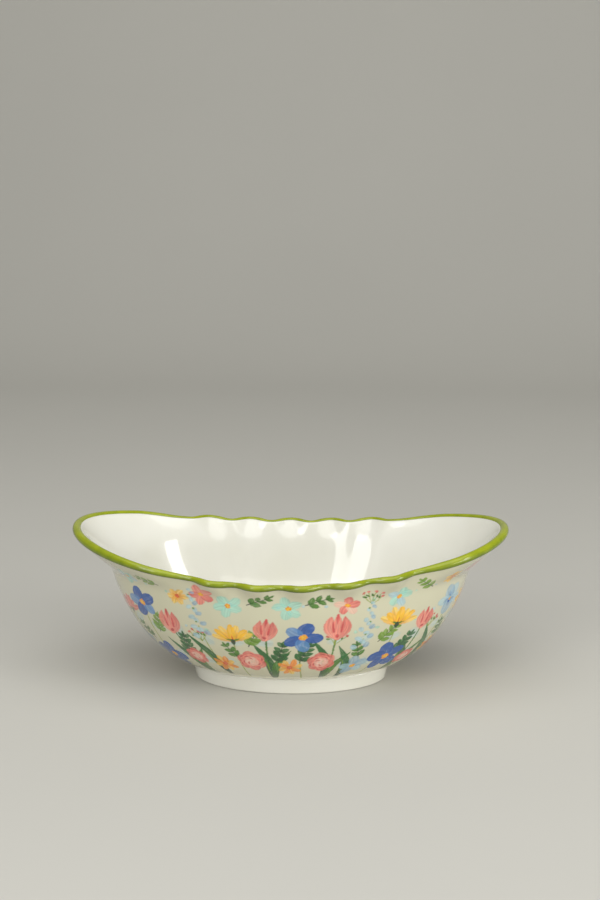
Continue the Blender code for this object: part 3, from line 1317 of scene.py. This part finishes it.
@dataclass
class InnerShell:
    """The bowl's inner face with its lip and floor, and the flat base inside the foot."""

    shape: BowlShape
    glaze: Porcelain
    columns: int = 720
    rows: int = 112
    floor_rows: int = 24
    easing: int = 165

    def build(self) -> list[bpy.types.Object]:
        """Makes the inner face and the base.

        Returns:
            Both.
        """
        angles = self.shape.angles(self.columns)
        wall = soften(respace(self.shape.inner_rings(angles, 48), self.rows), 3)
        wall = soften(wall, self.easing, (0.05, 0.25, 0.945, 0.98))
        middle = np.array((0.0, 0.0, wall[0, :, 2].mean()))
        reach = np.linspace(0.08, 1.0, self.floor_rows, endpoint=False)[:, None, None]
        floor = middle + (wall[0] - middle) * reach
        rings = np.concatenate((floor, wall))
        inside = grid_object("bowl_inside", rings, disc_uv(rings), pole=middle, flip=True)
        edge = self.shape.outer_rings(angles[::4], 2)[0][0]
        middle = edge.mean(axis=0)
        rings = middle + (edge - middle) * np.linspace(0.1, 1.0, 12)[:, None, None]
        base = grid_object("bowl_base", rings, disc_uv(rings), pole=middle)
        return [inside, base]

    def dress(self, pieces: list[bpy.types.Object]) -> None:
        """Glazes both."""
        material = self.glaze.material("clear_glaze", painted=False)
        for piece in pieces:
            settle(piece, material, "painted_glaze", "bowl_body")


@dataclass
class RimBead:
    """The rolled bead, swept round the rim by a node tree."""

    shape: BowlShape
    glaze: GreenGlaze
    points: int = 1440
    sides: int = 28
    bands: int = 8

    def _sweep(self) -> tuple[bpy.types.NodeTree, dict[str, str]]:
        """The node tree that sweeps a round section along a closed line.

        Returns:
            The tree, and the identifier of each of its named inputs.
        """
        tree = bpy.data.node_groups.new("bead_sweep", "GeometryNodeTree")
        sockets = {}
        for name, kind in (("Line", "Geometry"), ("Sides", "Int"), ("Glaze", "Material")):
            made = tree.interface.new_socket(name, in_out="INPUT", socket_type=f"NodeSocket{kind}")
            sockets[name] = made.identifier
        tree.interface.new_socket("Bead", in_out="OUTPUT", socket_type="NodeSocketGeometry")

        def add(kind: str, links: dict, **settings: object) -> bpy.types.Node:
            """Adds a node with its settings and with links or values into its inputs."""
            node = tree.nodes.new(kind)
            for key, value in settings.items():
                setattr(node, key, value)
            for key, value in links.items():
                if isinstance(value, bpy.types.NodeSocket):
                    tree.links.new(value, node.inputs[key])
                else:
                    node.inputs[key].default_value = value
            return node

        given = add("NodeGroupInput", {})
        line = add("GeometryNodeMeshToCurve", {"Mesh": given.outputs["Line"]})
        radius = add("GeometryNodeInputNamedAttribute", {"Name": "bead_radius"}, data_type="FLOAT")
        share = add("GeometryNodeSplineParameter", {})

        def mark(geometry: bpy.types.NodeSocket, name: str) -> bpy.types.Node:
            """Keeps each point's share of the way round under this name."""
            values = {"Geometry": geometry, "Name": name, "Value": share.outputs["Factor"]}
            return add("GeometryNodeStoreNamedAttribute", values, data_type="FLOAT")

        marked = mark(line.outputs[0], "along")
        sized = add("GeometryNodeSetCurveRadius", {"Curve": marked.outputs[0], "Radius": radius.outputs[0]})
        level = add("GeometryNodeSetCurveNormal", {"Curve": sized.outputs[0]})
        circle = add("GeometryNodeCurvePrimitiveCircle", {"Resolution": given.outputs["Sides"], "Radius": 1.0})
        ringed = mark(circle.outputs[0], "turn")
        swept = add("GeometryNodeCurveToMesh", {"Curve": level.outputs[0], "Profile Curve": ringed.outputs[0]})
        if "Scale" in swept.inputs:
            tree.links.new(radius.outputs[0], swept.inputs["Scale"])
        smooth = add("GeometryNodeSetShadeSmooth", {"Geometry": swept.outputs[0]})
        real = add("GeometryNodeRealizeInstances", {"Geometry": smooth.outputs[0]})
        glaze = {"Geometry": real.outputs[0], "Material": given.outputs["Glaze"]}
        glazed = add("GeometryNodeSetMaterial", glaze)
        add("NodeGroupOutput", {"Bead": glazed.outputs[0]})
        return tree, sockets

    def build(self, material: bpy.types.Material) -> bpy.types.Object:
        """Sweeps the bead.

        Args:
            material: Its finish.

        Returns:
            The bead, as a plain mesh.
        """
        path, _, radius = self.shape.rim(self.shape.angles(self.points))
        line = bpy.data.meshes.new("rim_line")
        here = np.arange(self.points)
        line.from_pydata(path.tolist(), np.stack((here, np.roll(here, -1)), axis=1).tolist(), [])
        sizes = line.attributes.new("bead_radius", "FLOAT", "POINT")
        sizes.data.foreach_set("value", radius.astype(np.float32))
        guide = bpy.data.objects.new("rim_line", line)
        bpy.context.scene.collection.objects.link(guide)
        tree, sockets = self._sweep()
        sweep = guide.modifiers.new("sweep", "NODES")
        sweep.node_group = tree
        sweep[sockets["Sides"]] = self.sides
        sweep[sockets["Glaze"]] = material
        bpy.context.view_layer.update()
        mesh = bpy.data.meshes.new_from_object(guide.evaluated_get(bpy.context.evaluated_depsgraph_get()))
        guide.modifiers.remove(sweep)
        bpy.data.objects.remove(guide)
        self._unroll(mesh)
        bead = bpy.data.objects.new("green_bead", mesh)
        bpy.context.scene.collection.objects.link(bead)
        return bead

    def _unroll(self, mesh: bpy.types.Mesh) -> None:
        """Gives the bead texture places: bands side by side, each a stretch of the bead laid flat."""
        corners = np.empty(len(mesh.loops), np.int32)
        mesh.loops.foreach_get("vertex_index", corners)
        places = []
        for name in ("along", "turn"):
            values = np.empty(len(mesh.vertices), np.float32)
            mesh.attributes[name].data.foreach_get("value", values)
            quads = values[corners].reshape(-1, 4)
            places.append(quads + (quads.max(axis=1, keepdims=True) - quads > 0.5))
        along, turn = places
        band = np.minimum(np.floor(along.mean(axis=1, keepdims=True) * self.bands), self.bands - 1)
        across = along * self.bands - band
        up = (band + 0.04 + 0.92 * turn) / self.bands
        uv = np.stack((0.01 + 0.98 * across, up), axis=-1)
        layer = mesh.uv_layers.new(name="OFBake")
        layer.data.foreach_set("uv", uv.astype(np.float32).ravel())

    def dress(self, bead: bpy.types.Object, material: bpy.types.Material) -> None:
        """Glazes the bead."""
        settle(bead, material, "rim_glaze", "rim_bead")


@dataclass
class FootRing:
    """The oval ring that the bowl stands on, with rounded edges."""

    shape: BowlShape
    glaze: Porcelain
    ring_width: float = 0.0085
    edge: float = 0.0022
    groove: float = 0.0009
    columns: int = 480
    arc_steps: int = 10

    def build(self) -> bpy.types.Object:
        """Makes the ring.

        Returns:
            The ring.
        """
        shape, edge = self.shape, self.edge
        base = oval(shape.angles(self.columns), shape.foot_length / 2, shape.foot_width / 2, 0.0)
        out = outward(base)
        top = shape.foot_height + shape.joint
        turns = np.linspace(0.0, math.pi / 2, self.arc_steps)
        inside = edge - self.ring_width
        section = [(inside - edge, z) for z in np.linspace(top, edge, 6)[:-1]]
        section += [(inside - edge * math.sin(t), edge * (1 - math.cos(t))) for t in turns[::-1]]
        section += [(edge * (math.cos(t) - 1), edge * (1 - math.sin(t))) for t in turns[::-1]]
        rise = np.linspace(0.0, 1.0, 14)[1:]
        groove = self.groove
        section += [(shape.foot_taper * r, edge + (top - groove - edge) * r) for r in rise]
        crown = shape.foot_taper - groove, top - groove
        section += [(crown[0] + groove * math.cos(t), crown[1] + groove * math.sin(t)) for t in turns[1:]]
        rings = np.array([base + out * reach + UP * height for reach, height in section])
        return grid_object("foot_ring_glazed", rings, band_uv(len(rings), self.columns + 1))

    def dress(self, foot: bpy.types.Object) -> None:
        """Glazes the ring."""
        settle(foot, self.glaze.material("foot_glaze_clear", painted=False), "foot_glaze", "foot_ring")


# Studio.


@dataclass(frozen=True)
class Softbox:
    """A rectangular lamp that faces the bowl."""

    name: str
    place: tuple[float, float, float]
    size: tuple[float, float]
    power: float
    aim: tuple[float, float, float] = (0.0, 0.0, 0.06)

    def build(self) -> None:
        """Hangs the lamp."""
        data = bpy.data.lights.new(self.name, "AREA")
        data.shape = "RECTANGLE"
        data.size, data.size_y = self.size
        data.energy = self.power
        lamp = bpy.data.objects.new(self.name, data)
        lamp.location = self.place
        toward = Vector(self.aim) - Vector(self.place)
        lamp.rotation_euler = toward.to_track_quat("-Z", "Y").to_euler()
        bpy.context.scene.collection.objects.link(lamp)


@dataclass
class Studio:
    """The floor, the backdrop, the lamps and the camera."""

    paper: StudioPaper = field(default_factory=StudioPaper)
    lamps: tuple[Softbox, ...] = (
        Softbox("left_box", (-0.80, -1.28, 0.66), (0.50, 1.10), 6.6),
        Softbox("right_box", (1.33, -0.68, 0.62), (0.34, 0.74), 5.6),
        Softbox("low_box", (1.35, -0.95, 0.14), (1.1, 0.26), 8.0, aim=(0.04, 0.0, 0.0)),
        Softbox("top_box", (0.0, -0.8, 1.8), (2.6, 2.6), 32.5),
    )
    sky: Colour = (1.0, 1.0, 0.97)
    sky_strength: float = 0.24
    camera_place: tuple[float, float, float] = (0.0841, -1.2416, 0.4541)
    camera_pitch: float = -12.54
    camera_yaw: float = 3.5
    camera_roll: float = -0.325
    lens: float = 68.0

    def build(self) -> None:
        """Sets up everything but the bowl."""
        self._paper_sweep()
        for lamp in self.lamps:
            lamp.build()
        world = bpy.data.worlds.new("studio")
        world.use_nodes = True
        ground = world.node_tree.nodes["Background"]
        ground.inputs["Color"].default_value = (*self.sky, 1.0)
        ground.inputs["Strength"].default_value = self.sky_strength
        bpy.context.scene.world = world
        bpy.context.scene.view_settings.view_transform = "Standard"
        self._camera()

    def _paper_sweep(self) -> None:
        """Lays a sheet of paper that curves up behind the bowl."""
        turns = np.linspace(0.0, math.pi / 2, 24)
        run = [(-3.0, 0.0), (1.2, 0.0)]
        run += [(1.2 + 0.9 * math.sin(t), 0.9 * (1 - math.cos(t))) for t in turns[1:]]
        run += [(2.1, 4.0)]
        rings = np.array([[(x, y, z) for x in (4.0, -4.0)] for y, z in run])
        paper = grid_object("paper_sweep", rings, band_uv(len(rings), 2), looped=False, flip=True)
        paper.data.materials.append(self.paper.material())

    def _camera(self) -> None:
        """Places the camera."""
        data = bpy.data.cameras.new("camera")
        data.lens = self.lens
        data.clip_start, data.clip_end = 0.05, 30.0
        camera = bpy.data.objects.new("camera", data)
        turn = Matrix.Rotation(math.radians(self.camera_yaw), 4, "Z")
        turn = turn @ Matrix.Rotation(math.radians(90.0 + self.camera_pitch), 4, "X")
        turn = turn @ Matrix.Rotation(math.radians(self.camera_roll), 4, "Z")
        camera.matrix_world = Matrix.Translation(self.camera_place) @ turn
        bpy.context.scene.collection.objects.link(camera)
        bpy.context.scene.camera = camera


def main() -> None:
    """Builds the bowl piece by piece, then the studio."""
    logging.basicConfig(level=logging.INFO)
    shape = BowlShape()
    porcelain = Porcelain()
    wall = PaintedWall(shape, porcelain)
    wall.dress(wall.build())
    shell = InnerShell(shape, porcelain)
    shell.dress(shell.build())
    green = GreenGlaze()
    bead = RimBead(shape, green)
    glaze = green.material()
    bead.dress(bead.build(glaze), glaze)
    foot = FootRing(shape, porcelain)
    foot.dress(foot.build())
    Studio().build()


if __name__ == "__main__":
    main()
